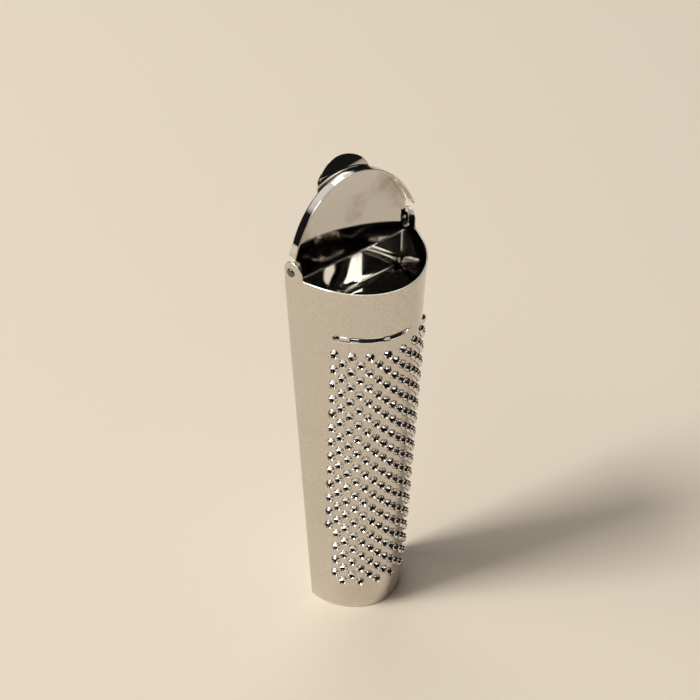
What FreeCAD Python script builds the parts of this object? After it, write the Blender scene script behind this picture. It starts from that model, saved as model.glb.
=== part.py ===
import FreeCAD, Part
import math
import os

# A half-round nutmeg grater of polished sheet steel. It stands on its narrow open end.
# The curved front is the grating shell, the flat back is a plate, and the wide top is a
# storage box for the nutmeg, with a floor of its own and a hinged lid.
#
# Frame: millimetres, +Z up, +X to the right seen from the front, +Y to the back. The origin is
# the middle of the back plate's lower edge, on the surface that the grater stands on.

V = FreeCAD.Vector

doc = FreeCAD.newDocument("nutmeg_grater")
sheet = doc.addObject("Spreadsheet::Sheet", "sizes")

# Every driving size of the grater, in millimetres or degrees.
DRIVING = {
    # the body, seen from above: an oval whose widest line lies behind the flat back
    "rim_level": 130.0,
    "top_half_width": 21.95,
    "top_half_depth": 30.65,
    "top_centre_back": 3.0,
    "base_half_width": 15.26,
    "base_half_depth": 17.15,
    "base_centre_back": 0.33,
    "gauge": 0.5,
    "facet_turn": 6.25,
    # the hinge and the ears of the shell that carry it
    "hinge_inset": 2.7,
    "hinge_rise": 1.0,
    "ear_depth": 7.1,
    "ear_rise": 5.0,
    "ear_round": 3.5,
    "pin_radius": 0.8,
    "pin_play": 0.05,
    "head_radius": 1.25,
    "head_height": 0.25,
    "tail_radius": 1.15,
    "tail_height": 0.35,
    # the floor of the storage box, and the slot that its tongue sits in
    "floor_level": 113.0,
    "floor_skirt": 4.0,
    "floor_gap": 0.1,
    "slot_height": 2.1,
    "slot_left": 21.1,
    "slot_right": 3.9,
    "slot_taper": 3.0,
    "tongue_margin": 1.4,
    "stud_offset": -1.0,
    "stud_radius": 1.4,
    "stud_height": 0.6,
    # the burrs round the punched holes
    "burr_columns": 15,
    "burr_rows": 17,
    "edge_rows": 13,
    "burr_top_level": 106.45,
    "row_pitch": 5.89,
    "column_pitch": 2.62,
    "pattern_offset": -1.86,
    "pattern_slant": 0.0125,
    "burr_root_radius": 1.1,
    "burr_tip_radius": 0.75,
    "burr_height": 1.25,
    "burr_hole_radius": 0.5,
    # the lid, which stands open
    "lid_open_turn": 93.5,
    "lid_side_reach": 1.8,
    "lid_front_reach": 0.7,
    "lid_cap_shift": -0.6,
    "lid_drop": 3.0,
    "lid_lift": 0.1,
    "lid_tail": 3.3,
    "lid_neck": 6.5,
    "lid_ear_radius": 2.5,
    "lid_ear_reach": 3.5,
    "lid_ear_gap": 1.45,
    "notch_reach": 1.75,
    "notch_width": 0.7,
    "swing_gap": 0.4,
    # the thumb tab on the lid
    "tab_shift": -1.0,
    "tab_half_width": 9.4,
    "tab_centre_out": 21.5,
    "tab_length": 7.8,
    "tab_foot": 3.5,
    "tab_bend_out": 23.5,
    "tab_bend_radius": 9.0,
    "tab_bend_turn": 52.0,
}

# Sizes that follow from the driving ones: how far out the outsides of the lid's ears stand.
FOLLOWING = {
    "lid_ear_width": "=top_half_width - gauge - lid_ear_gap",
}

for row, (alias, value) in enumerate({**DRIVING, **FOLLOWING}.items(), start=1):
    sheet.set(f"A{row}", alias)
    sheet.set(f"B{row}", str(value))
    sheet.setAlias(f"B{row}", alias)
doc.recompute()


def size(alias):
    """The value of one driving size."""
    return float(sheet.get(alias))


GAUGE = size("gauge")
# past any wall, for boxes that only keep or cut a side
REACH = size("top_half_width") + size("top_half_depth")
EAR_TOP = size("rim_level") + size("ear_rise")


# ---------------------------------------------------------------- objects of the document


def bind(thing, **expressions):
    """Binds properties of a document object to expressions. Two underscores stand for a dot."""
    for name, expression in expressions.items():
        thing.setExpression(name.replace("__", "."), expression)
    return thing


def box(name, x, y, z, length, width, height):
    """A box whose corner and sides are expressions."""
    return bind(
        doc.addObject("Part::Box", name),
        Placement__Base__x=x,
        Placement__Base__y=y,
        Placement__Base__z=z,
        Length=length,
        Width=width,
        Height=height,
    )


def cross_bar(name, radius, x, y, z, length):
    """A cylinder that runs along X from the point x, y, z."""
    bar = doc.addObject("Part::Cylinder", name)
    bar.Placement.Rotation = FreeCAD.Rotation(V(0, 1, 0), 90)
    return bind(
        bar,
        Placement__Base__x=x,
        Placement__Base__y=y,
        Placement__Base__z=z,
        Radius=radius,
        Height=length,
    )


def computed(name, shape):
    """A document object that holds a shape worked out from the sheet's sizes."""
    thing = doc.addObject("Part::Feature", name)
    thing.Shape = shape
    return thing


def cut(name, base, tool):
    """The base without the tool."""
    thing = doc.addObject("Part::Cut", name)
    thing.Base, thing.Tool = base, tool
    return thing


def common(name, base, tool):
    """What the base and the tool share."""
    thing = doc.addObject("Part::Common", name)
    thing.Base, thing.Tool = base, tool
    return thing


def fuse(name, *things):
    """Several objects joined into one."""
    thing = doc.addObject("Part::MultiFuse", name)
    thing.Shapes = list(things)
    return thing


# ---------------------------------------------------------------- the tapered oval


def oval(level, inset=0.0):
    """Half width, half depth and centre of the body's oval at a level, drawn in by inset."""
    share = level / size("rim_level")

    def between(name):
        return size("base_" + name) + share * (size("top_" + name) - size("base_" + name))

    return between("half_width") - inset, between("half_depth") - inset, between("centre_back")


def facet_ring(level, inset):
    """Corners of the oval at a level, as flat facets that each touch the true oval.

    Facets of one turn are parallel at every level, so each facet of the tapered body is flat.
    """
    width, depth, centre = oval(level, inset)
    turns = round(200.0 / size("facet_turn"))
    sides = []
    for step in range(turns + 1):
        turn = math.radians(-100.0 + 200.0 * step / turns)
        out_x, out_y = math.sin(turn), -math.cos(turn)
        sides.append((out_x, out_y, math.hypot(width * out_x, depth * out_y) + out_y * centre))
    corners = []
    for (ax, ay, a), (bx, by, b) in zip(sides, sides[1:]):
        scale = ax * by - bx * ay
        corners.append(V((a * by - b * ay) / scale, (ax * b - bx * a) / scale, level))
    return corners


def tapered_core(low, high, inset):
    """The solid inside the body's oval between two levels, drawn in by inset."""
    below, above = facet_ring(low, inset), facet_ring(high, inset)
    outlines = [below, above]
    for here in range(len(below)):
        after = (here + 1) % len(below)
        outlines.append([below[here], below[after], above[after], above[here]])
    faces = [Part.Face(Part.makePolygon(points + points[:1])) for points in outlines]
    core = Part.Solid(Part.Shell(faces))
    if core.Volume < 0:
        core.reverse()
    return core


def wall_point(level, arc):
    """The point of the wall's outside at a distance arc round from the front, and its normal."""
    width, depth, centre = oval(level)
    step = math.radians(0.1)
    turn, walked = 0.0, 0.0
    while walked < abs(arc):
        walked += step * math.hypot(width * math.cos(turn), depth * math.sin(turn))
        turn += step
    side = math.copysign(1.0, arc)
    point = V(side * width * math.sin(turn), centre - depth * math.cos(turn), level)
    normal = V(side * math.sin(turn) / width, -math.cos(turn) / depth, 0)
    return point, normal.normalize()


# ---------------------------------------------------------------- the grating shell


def burr_places():
    """Root point and outward direction of every burr, in staggered columns."""
    places = []
    columns = int(size("burr_columns"))
    for column in range(columns):
        stagger = 0.5 * (column % 2)
        rows = int(size("burr_rows")) - column % 2
        if column in (0, columns - 1):
            rows = int(size("edge_rows"))
        arc = (column - 0.5 * (columns - 1)) * size("column_pitch") + size("pattern_offset")
        for row in range(rows):
            below = (row + stagger) * size("row_pitch")
            level = size("burr_top_level") - below
            places.append(wall_point(level, arc + below * size("pattern_slant")))
    return places


def burr_solids(places):
    """The raised rings of metal round the punched holes."""
    root = 0.5 * GAUGE
    return Part.makeCompound([
        Part.makeCone(
            size("burr_root_radius"),
            size("burr_tip_radius"),
            root + size("burr_height"),
            point - normal * root,
            normal,
        )
        for point, normal in places
    ])


def burr_holes(places):
    """The holes through the burrs and the wall behind them."""
    inside = 2.0 * GAUGE
    length = inside + 2.0 * size("burr_height")
    return Part.makeCompound([
        Part.makeCylinder(size("burr_hole_radius"), length, point - normal * inside, normal)
        for point, normal in places
    ])


def slot_tool():
    """The curved slot below the storage box: round at its left end, pointed at its right."""
    half = 0.5 * size("slot_height")
    level = size("floor_level") - 0.5 * GAUGE
    round_centre, outward = wall_point(level, half - size("slot_left"))
    taper_start = wall_point(level, size("slot_right") - size("slot_taper"))[0].x
    tip = wall_point(level, size("slot_right"))[0].x
    outline = [
        V(round_centre.x, -REACH, level - half),
        V(taper_start, -REACH, level - half),
        V(tip, -REACH, level + half),
        V(round_centre.x, -REACH, level + half),
    ]
    face = Part.Face(Part.makePolygon(outline + outline[:1]))
    long_part = face.extrude(V(0, REACH - size("ear_depth"), 0))
    start = round_centre - outward * 2.0 * GAUGE
    round_end = Part.makeCylinder(half, 4.0 * GAUGE, start, outward)
    return long_part.fuse(round_end)


def grating_shell(outside):
    """The curved front wall with its ears, slot, pin holes and burrs, all in one sheet."""
    wall = cut("shell_wall", outside, computed("shell_inside", tapered_core(0, EAR_TOP, GAUGE)))
    below_rim = box(
        "below_rim",
        f"-{REACH}",
        f"-{REACH}",
        "0",
        f"2 * {REACH}",
        f"{REACH} - sizes.gauge / 2",
        "sizes.rim_level",
    )
    ear_foot = box(
        "ear_foot",
        f"-{REACH}",
        "-sizes.ear_depth",
        "0",
        f"2 * {REACH}",
        "sizes.ear_depth - sizes.gauge / 2",
        "sizes.rim_level + sizes.ear_rise - sizes.ear_round",
    )
    ear_head = cross_bar(
        "ear_head",
        "sizes.ear_round",
        f"-{REACH}",
        "-sizes.ear_depth + sizes.ear_round",
        "sizes.rim_level + sizes.ear_rise - sizes.ear_round",
        f"2 * {REACH}",
    )
    outline = fuse("shell_side_outline", below_rim, ear_foot, ear_head)
    sheet_wall = common("shell_sheet", wall, outline)
    pin_holes = cross_bar(
        "ear_pin_holes",
        "sizes.pin_radius",
        f"-{REACH}",
        "-sizes.hinge_inset",
        "sizes.rim_level + sizes.hinge_rise",
        f"2 * {REACH}",
    )
    drilled = cut("shell_drilled", sheet_wall, pin_holes)
    slotted = cut("shell_slotted", drilled, computed("slot_tool", slot_tool()))
    places = burr_places()
    burred = fuse("shell_burred", slotted, computed("burr_rings", burr_solids(places)))
    return cut("grating_shell", burred, computed("burr_hole_tools", burr_holes(places)))


# ---------------------------------------------------------------- the back plate


def back_plate(outside):
    """The flat back, as wide as the shell at every level, whose top clears the lid's tail."""
    corner = "sqrt(pow(sizes.lid_tail; 2) + pow(sizes.hinge_rise - sizes.lid_lift; 2))"
    across = "(sizes.hinge_inset - sizes.gauge / 2)"
    slab = box(
        "back_slab",
        f"-{REACH}",
        "-sizes.gauge / 2",
        "0",
        f"2 * {REACH}",
        "sizes.gauge",
        "sizes.rim_level + sizes.hinge_rise - sizes.swing_gap"
        f" - sqrt(max(pow({corner}; 2) - pow({across}; 2); 0))",
    )
    blank = common("back_blank", outside, slab)
    hole = doc.addObject("Part::Cylinder", "stud_hole")
    hole.Placement.Rotation = FreeCAD.Rotation(V(1, 0, 0), 90)
    bind(
        hole,
        Radius="sizes.pin_radius",
        Height="3 * sizes.gauge",
        Placement__Base__x="sizes.stud_offset",
        Placement__Base__y="1.5 * sizes.gauge",
        Placement__Base__z="sizes.floor_level + sizes.stud_radius + sizes.floor_gap",
    )
    return cut("back_plate", blank, hole)


def floor_stud():
    """The rivet in the back plate whose head holds the box floor's back edge down."""
    shank = doc.addObject("Part::Cylinder", "stud_shank")
    head = doc.addObject("Part::Cone", "stud_head")
    for thing, start in ((shank, "sizes.gauge / 2"), (head, "-sizes.gauge / 2")):
        thing.Placement.Rotation = FreeCAD.Rotation(V(1, 0, 0), 90)
        bind(
            thing,
            Placement__Base__x="sizes.stud_offset",
            Placement__Base__y=start,
            Placement__Base__z="sizes.floor_level + sizes.stud_radius + sizes.floor_gap",
        )
    bind(shank, Radius="sizes.pin_radius", Height="sizes.gauge")
    bind(
        head,
        Radius1="sizes.stud_radius",
        Radius2="0.6 * sizes.stud_radius",
        Height="sizes.stud_height",
    )
    return fuse("floor_stud", shank, head)


# ---------------------------------------------------------------- the box floor


def compartment_floor():
    """A D-shaped pan, skirt down, with a tongue at its front that sits in the shell's slot."""
    level, skirt, gap = size("floor_level"), size("floor_skirt"), size("floor_gap")
    bottom = level - skirt
    blank = computed("floor_blank", tapered_core(bottom, level, GAUGE + gap))
    hollow = computed("floor_hollow", tapered_core(bottom - skirt, level - GAUGE, 2 * GAUGE + gap))
    ahead = box(
        "ahead_of_back",
        f"-{REACH}",
        f"-{REACH}",
        "0",
        f"2 * {REACH}",
        f"{REACH} - sizes.gauge / 2 - sizes.floor_gap",
        "sizes.rim_level",
    )
    ahead_inside = box(
        "ahead_of_skirt",
        f"-{REACH}",
        f"-{REACH}",
        "0",
        f"2 * {REACH}",
        f"{REACH} - 1.5 * sizes.gauge - sizes.floor_gap",
        "sizes.rim_level",
    )
    pan = cut(
        "floor_pan",
        common("floor_outside", blank, ahead),
        common("floor_inside", hollow, ahead_inside),
    )
    middle = level - 0.5 * GAUGE
    left = wall_point(middle, size("tongue_margin") - size("slot_left"))[0].x
    right = wall_point(middle, size("slot_right") - size("slot_taper"))[0].x
    tongue_box = Part.makeBox(
        right - left, REACH - size("ear_depth"), GAUGE, V(left, -REACH, level - GAUGE)
    )
    tongue = tapered_core(bottom, level, gap).common(tongue_box)
    return fuse("compartment_floor", pan, computed("floor_tongue", tongue))


# ---------------------------------------------------------------- the lid and its tab

# The lid and its tab are drawn as they lie when the lid is shut, with the hinge axis as their
# origin, and then turned open about that axis.
LID_UNDER = size("lid_lift") - size("hinge_rise")


def oval_prism(name, half_width, half_depth, middle, height):
    """An upright prism on an oval round the point middle, whose axes lie along X and Y."""
    along_x, along_y = middle + V(half_width, 0, 0), middle + V(0, half_depth, 0)
    ends = (along_y, along_x) if half_depth > half_width else (along_x, along_y)
    outline = Part.Wire([Part.Ellipse(*ends, middle).toShape()])
    return computed(name, Part.Face(outline).extrude(V(0, 0, height)))


def swing_open(thing):
    """Turns a piece drawn in the shut lid's frame about the hinge to the open position."""
    thing.Placement.Rotation = FreeCAD.Rotation(V(-1, 0, 0), 90)
    return bind(
        thing,
        Placement__Base__y="-sizes.hinge_inset",
        Placement__Base__z="sizes.rim_level + sizes.hinge_rise",
        Placement__Rotation__Angle="sizes.lid_open_turn",
    )


def lid_cap():
    """The front of the lid: a plate with a turned-down edge that goes round the shell's rim."""
    width = size("top_half_width") + size("lid_side_reach")
    depth = size("top_half_depth") + size("lid_front_reach")
    centre = size("top_centre_back") + size("hinge_inset")
    middle, drop = V(size("lid_cap_shift"), centre, LID_UNDER), V(0, 0, size("lid_drop"))
    blank = oval_prism("lid_blank", width, depth, middle - drop, drop.z + GAUGE)
    hollow = oval_prism("lid_hollow", width - GAUGE, depth - GAUGE, middle - drop, drop.z)
    front = box(
        "lid_front_side",
        f"-{REACH}",
        f"-{REACH}",
        f"-{REACH}",
        f"2 * {REACH}",
        f"{REACH} - sizes.lid_neck",
        f"2 * {REACH}",
    )
    return common("lid_cap", cut("lid_dish", blank, hollow), front)


def lid_neck():
    """The narrow part of the lid between the shell's ears, with an upright ear at each side."""
    plate = box(
        "lid_neck_plate",
        "-sizes.lid_ear_width",
        "-sizes.lid_neck - sizes.gauge",
        "sizes.lid_lift - sizes.hinge_rise",
        "2 * sizes.lid_ear_width",
        "sizes.lid_neck + sizes.gauge + sizes.lid_tail",
        "sizes.gauge",
    )
    round_bar = cross_bar(
        "lid_ear_round",
        "sizes.lid_ear_radius",
        "-sizes.lid_ear_width",
        "0",
        "0",
        "2 * sizes.lid_ear_width",
    )
    foot_bar = box(
        "lid_ear_foot",
        "-sizes.lid_ear_width",
        "-sizes.lid_ear_reach",
        "-sizes.lid_ear_radius",
        "2 * sizes.lid_ear_width",
        "sizes.lid_ear_reach",
        "sizes.lid_ear_radius + sizes.lid_lift - sizes.hinge_rise + sizes.gauge",
    )
    between_ears = box(
        "between_lid_ears",
        "-sizes.lid_ear_width + sizes.gauge",
        f"-{REACH}",
        f"-{REACH}",
        "2 * (sizes.lid_ear_width - sizes.gauge)",
        f"2 * {REACH}",
        f"2 * {REACH}",
    )
    ears = cut("lid_ears", fuse("lid_ear_bars", round_bar, foot_bar), between_ears)
    return plate, ears


def notch(name, x):
    """Room in the lid's plate for the tail of a hinge rivet."""
    return box(
        name,
        x,
        "-sizes.notch_reach",
        "-sizes.notch_reach",
        "sizes.notch_width",
        "2 * sizes.notch_reach",
        "2 * sizes.notch_reach",
    )


def lid():
    """The whole lid in one sheet: cap, neck and ears, bored for the hinge rivets."""
    body = fuse("lid_sheet", lid_cap(), *lid_neck())
    right = notch("notch_right", "sizes.lid_ear_width - sizes.gauge - sizes.notch_width")
    left = notch("notch_left", "-sizes.lid_ear_width + sizes.gauge")
    bore = cross_bar(
        "lid_pin_holes",
        "sizes.pin_radius + sizes.pin_play",
        f"-{REACH}",
        "0",
        "0",
        f"2 * {REACH}",
    )
    notched = cut("lid_notched", body, fuse("lid_notches", left, right))
    return swing_open(cut("lid", notched, bore))


def thumb_tab():
    """A lip of sheet on the lid's top that reaches past its front edge and curls up."""
    foot = LID_UNDER + GAUGE
    start, bend = size("tab_centre_out") - size("tab_foot"), size("tab_bend_out")
    radius, turn = size("tab_bend_radius"), math.radians(size("tab_bend_turn"))

    def on_bend(distance, angle):
        high = foot + radius - distance * math.cos(angle)
        return V(0, -bend - distance * math.sin(angle), high)

    outer, inner = radius, radius - GAUGE
    edges = [
        Part.makeLine(V(0, -start, foot), on_bend(outer, 0)),
        Part.Arc(on_bend(outer, 0), on_bend(outer, turn / 2), on_bend(outer, turn)).toShape(),
        Part.makeLine(on_bend(outer, turn), on_bend(inner, turn)),
        Part.Arc(on_bend(inner, turn), on_bend(inner, turn / 2), on_bend(inner, 0)).toShape(),
        Part.makeLine(on_bend(inner, 0), V(0, -start, foot + GAUGE)),
        Part.makeLine(V(0, -start, foot + GAUGE), V(0, -start, foot)),
    ]
    half = size("tab_half_width")
    strip = Part.Face(Part.Wire(edges)).extrude(V(2 * half, 0, 0))
    strip.translate(V(size("tab_shift") - half, 0, 0))
    middle = V(size("tab_shift"), -size("tab_centre_out"), foot - GAUGE)
    outline = oval_prism("tab_outline", half, size("tab_length"), middle, GAUGE + radius)
    return swing_open(common("thumb_tab", computed("tab_strip", strip), outline))


# ---------------------------------------------------------------- the hinge rivets


def hinge_rivet_right(outside):
    """A rivet through the right ears: head outside the shell, tail inside the lid's ear."""
    tail_face = "(sizes.lid_ear_width - sizes.gauge - sizes.pin_play)"
    seat = size("top_half_width") - GAUGE
    head = doc.addObject("Part::Cone", "rivet_head_blank")
    head.Placement.Rotation = FreeCAD.Rotation(V(0, 1, 0), 90)
    bind(
        head,
        Radius1="sizes.head_radius",
        Radius2="0.7 * sizes.head_radius",
        Height="sizes.gauge + sizes.head_height",
        Placement__Base__x=f"{seat}",
        Placement__Base__y="-sizes.hinge_inset",
        Placement__Base__z="sizes.rim_level + sizes.hinge_rise",
    )
    shank = cross_bar(
        "rivet_shank",
        "sizes.pin_radius",
        tail_face,
        "-sizes.hinge_inset",
        "sizes.rim_level + sizes.hinge_rise",
        f"{seat} + sizes.gauge - {tail_face}",
    )
    tail = cross_bar(
        "rivet_tail",
        "sizes.tail_radius",
        f"{tail_face} - sizes.tail_height",
        "-sizes.hinge_inset",
        "sizes.rim_level + sizes.hinge_rise",
        "sizes.tail_height",
    )
    head_on_ear = cut("rivet_head", head, outside)
    return fuse("hinge_rivet_right", head_on_ear, shank, tail)


def mirrored(name, source):
    """The same piece on the other side of the grater's middle plane."""
    thing = doc.addObject("Part::Mirroring", name)
    thing.Source = source
    thing.Normal = V(1, 0, 0)
    return thing


# ---------------------------------------------------------------- all the pieces


def build():
    """Makes every piece and names it."""
    outside = computed("shell_outside", tapered_core(0, EAR_TOP, 0))
    rivet = hinge_rivet_right(outside)
    pieces = [
        grating_shell(outside),
        back_plate(outside),
        compartment_floor(),
        floor_stud(),
        lid(),
        thumb_tab(),
        rivet,
        mirrored("hinge_rivet_left", rivet),
    ]
    for piece in pieces:
        piece.Label = piece.Name
    doc.recompute()
    return pieces


def check(pieces):
    """Stops if any object of the document failed, or a piece isn't one valid solid."""
    for thing in doc.Objects:
        if "Invalid" in thing.State or "Error" in thing.State:
            raise SystemExit(f"{thing.Name} failed: {thing.State}")
    for piece in pieces:
        shape = piece.Shape
        if shape.isNull() or not shape.isValid() or len(shape.Solids) != 1:
            raise SystemExit(f"{piece.Label} isn't one valid solid")
        print(f"{piece.Label}: {shape.Volume:.1f} mm3, {len(shape.Faces)} faces")


def write(pieces):
    """Writes each piece to parts/NODE.step."""
    os.makedirs("parts", exist_ok=True)
    for piece in pieces:
        piece.Shape.exportStep(f"parts/{piece.Label}.step")


grater = build()
check(grater)
write(grater)
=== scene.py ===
"""A half-round nutmeg grater of polished stainless sheet, standing on its narrow open end with its lid open.

Shapes are worked out in millimetres in the row frame and turned to metres where each mesh is made.
"""

import logging
import math
from dataclasses import dataclass, field
from enum import Enum
from typing import Any, Callable, Iterable, Sequence

import bmesh
import bpy
import numpy as np
from mathutils import Matrix, Vector
from mathutils.geometry import delaunay_2d_cdt


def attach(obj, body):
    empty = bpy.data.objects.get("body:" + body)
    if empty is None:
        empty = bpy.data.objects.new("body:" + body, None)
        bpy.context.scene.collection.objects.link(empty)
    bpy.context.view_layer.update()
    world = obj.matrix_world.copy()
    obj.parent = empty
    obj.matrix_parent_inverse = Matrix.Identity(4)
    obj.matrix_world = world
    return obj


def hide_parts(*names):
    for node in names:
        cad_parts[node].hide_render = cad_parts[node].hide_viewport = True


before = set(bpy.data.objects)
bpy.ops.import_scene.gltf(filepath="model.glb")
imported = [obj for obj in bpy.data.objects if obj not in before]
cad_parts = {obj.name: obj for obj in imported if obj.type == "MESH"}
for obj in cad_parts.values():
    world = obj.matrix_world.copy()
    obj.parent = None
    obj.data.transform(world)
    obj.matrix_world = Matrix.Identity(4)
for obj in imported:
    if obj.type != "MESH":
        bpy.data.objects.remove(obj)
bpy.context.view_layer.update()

log = logging.getLogger("grater")

Point = tuple[float, float, float]
Flat = tuple[float, float]

MM = 0.001
GAUGE = 0.5  # thickness of the steel sheet, in mm
HINGE: Flat = (-2.7, 131.0)  # depth and level of the line that the lid turns on, in mm
PIN_RADIUS = 0.8  # radius of the hinge rivets' shanks, in mm
EAR_AT = 20.0  # from the middle to the outside of each of the lid's ears, in mm
POLE = 1e-4  # a radius that stands for zero, in mm: points this close are joined


class Body(Enum):
    """The bodies that pieces ride on."""

    GRATER = "body"
    LID = "lid"


# ---------------------------------------------------------------- colours and nodes


def linear(code: str) -> tuple[float, float, float, float]:
    """Turns a colour code to linear light.

    Args:
        code: The colour as six sRGB hex digits.

    Returns:
        Red, green, blue and a full alpha, in linear light.
    """
    parts = [int(code[i : i + 2], 16) / 255 for i in (0, 2, 4)]
    r, g, b = (p / 12.92 if p <= 0.04045 else ((p + 0.055) / 1.055) ** 2.4 for p in parts)
    return r, g, b, 1.0


def empty_tree(owner: bpy.types.Material | bpy.types.World) -> bpy.types.NodeTree:
    """Gives a material or a world a node tree without nodes.

    Args:
        owner: The material or world.

    Returns:
        The tree.
    """
    owner.use_nodes = True
    owner.node_tree.nodes.clear()
    return owner.node_tree


def add_node(tree: bpy.types.NodeTree, kind: str, **settings: Any) -> bpy.types.Node:
    """Adds a node with its settings and links.

    Args:
        tree: The tree that gets the node.
        kind: The node's Blender type.
        settings: Values by name. "inputs" holds a dict from a socket's name or place to a value, to an
            output socket that is linked to it, or to a node whose first output in use is linked to it.

    Returns:
        The new node.
    """
    node = tree.nodes.new(kind)
    inputs = settings.pop("inputs", {})
    for name, value in settings.items():
        setattr(node, name, value)
    for socket, value in inputs.items():
        if isinstance(value, bpy.types.Node):
            value = next(out for out in value.outputs if not out.is_unavailable)
        if isinstance(value, bpy.types.NodeSocket):
            tree.links.new(value, node.inputs[socket])
        else:
            node.inputs[socket].default_value = value
    return node


@dataclass(frozen=True)
class StainlessSheet:
    """Stainless steel sheet, rolled bright and then rubbed by use.

    Bright steel shows its surroundings a little blurred. Fine rubbing marks cross it at two slants, and
    faint smears from handling change its gloss over a centimetre or so.
    """

    name: str
    colour: str = "DDD7D0"
    roughness: float = 0.045
    rub_depth: float = 0.12
    rub_colour: str = "8C857C"
    rub_share: float = 0.24
    slants: Flat = (33.0, -41.0)
    smear: float = 0.04
    stain: str = "A99F90"
    stain_share: float = 0.10
    wave: float = 0.05

    def dress(self, thing: bpy.types.Object) -> None:
        """Gives a piece this finish.

        Args:
            thing: The piece.
        """
        thing.data.materials.clear()
        thing.data.materials.append(self.material())

    def material(self) -> bpy.types.Material:
        """The finish as a material, made once.

        Returns:
            The material.
        """
        known = bpy.data.materials.get(self.name)
        if known:
            return known
        made = bpy.data.materials.new(self.name)
        tree = empty_tree(made)
        place = add_node(tree, "ShaderNodeTexCoord").outputs["Object"]
        rubs = [self.rubbing(tree, place, slant) for slant in self.slants]
        both = add_node(tree, "ShaderNodeMath", operation="ADD", inputs=dict(enumerate(rubs)))
        # smears from fingers: patches of about 12 mm
        patches = {"Vector": place, "Scale": 85.0, "Detail": 3.0, "Roughness": 0.55}
        smears = add_node(tree, "ShaderNodeTexNoise", inputs=patches)
        # a smear dulls the steel and stains it; a rubbing mark sends some light elsewhere, so it shows
        # as a slightly darker line
        gloss, tint, marks = (
            add_node(tree, "ShaderNodeMapRange", inputs=dict(enumerate(row)))
            for row in (
                # what it follows, the ends of that, and its own value at each end
                (smears, 0.35, 0.7, self.roughness, self.roughness + self.smear),
                (smears, 0.52, 0.78, 0.0, self.stain_share),
                (both, 0.75, 1.3, self.rub_share, 0.0),
            )
        )
        stained = add_node(
            tree,
            "ShaderNodeMix",
            data_type="RGBA",
            inputs={"Factor": tint, "A": linear(self.colour), "B": linear(self.stain)},
        )
        rubbed = add_node(
            tree,
            "ShaderNodeMix",
            data_type="RGBA",
            blend_type="MULTIPLY",
            inputs={"Factor": marks, "A": stained, "B": linear(self.rub_colour)},
        )
        # pressing leaves the sheet uneven by a few hundredths of a millimetre, over a centimetre or so
        dents = add_node(
            tree, "ShaderNodeTexNoise", inputs={"Vector": place, "Scale": 90.0, "Detail": 1.0}
        )
        uneven = add_node(
            tree,
            "ShaderNodeBump",
            inputs={"Strength": self.wave, "Distance": 0.0005, "Height": dents},
        )
        bump = add_node(
            tree,
            "ShaderNodeBump",
            inputs={"Strength": self.rub_depth, "Distance": 0.00001, "Height": both, "Normal": uneven},
        )
        look = {"Base Color": rubbed, "Metallic": 1.0, "Roughness": gloss, "Normal": bump}
        steel = add_node(tree, "ShaderNodeBsdfPrincipled", inputs=look)
        add_node(tree, "ShaderNodeOutputMaterial", inputs={"Surface": steel})
        return made

    @staticmethod
    def rubbing(tree: bpy.types.NodeTree, place: bpy.types.NodeSocket, slant: float) -> bpy.types.Node:
        """Fine parallel rubbing marks.

        Args:
            tree: The material's tree.
            place: The coordinates that the marks lie in.
            slant: The angle of the marks from upright, in degrees.

        Returns:
            The node whose first output is the marks' height.
        """
        # real marks are 0.02 mm wide; bundles of them 0.45 mm wide and 14 mm long show
        bundle = {
            "Vector": place,
            "Rotation": (0.0, math.radians(slant), 0.0),
            "Scale": (0.45 * MM, 0.45 * MM, 14.0 * MM),
        }
        turned = add_node(tree, "ShaderNodeMapping", vector_type="TEXTURE", inputs=bundle)
        grain = {"Vector": turned, "Scale": 1.0, "Detail": 2.0, "Roughness": 0.6}
        return add_node(tree, "ShaderNodeTexNoise", inputs=grain)


BODY_STEEL = StainlessSheet("bright_stainless_sheet")
LID_STEEL = StainlessSheet(
    "bright_stainless_lid",
    colour="DAD7D3",
    roughness=0.025,
    rub_depth=0.04,
    stain="8F7D66",
    stain_share=0.6,
    rub_share=0.05,
)
BOX_STEEL = StainlessSheet(
    "bright_stainless_box", colour="D8D6D2", roughness=0.02, rub_depth=0.01, rub_share=0.05, wave=0.12
)
BURR_STEEL = StainlessSheet(
    "torn_stainless_burrs", colour="E4E0DA", roughness=0.07, rub_depth=0.03, rub_share=0.0
)
# the rivets' dark colour is painted shade: it stands in for the dark reflections and shade on their heads,
# not for a darker steel
RIVET_STEEL_PAINTED_DARK = StainlessSheet("rivets_with_painted_shade", colour="726E69", roughness=0.12, rub_depth=0.05)


# ---------------------------------------------------------------- meshes


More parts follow.
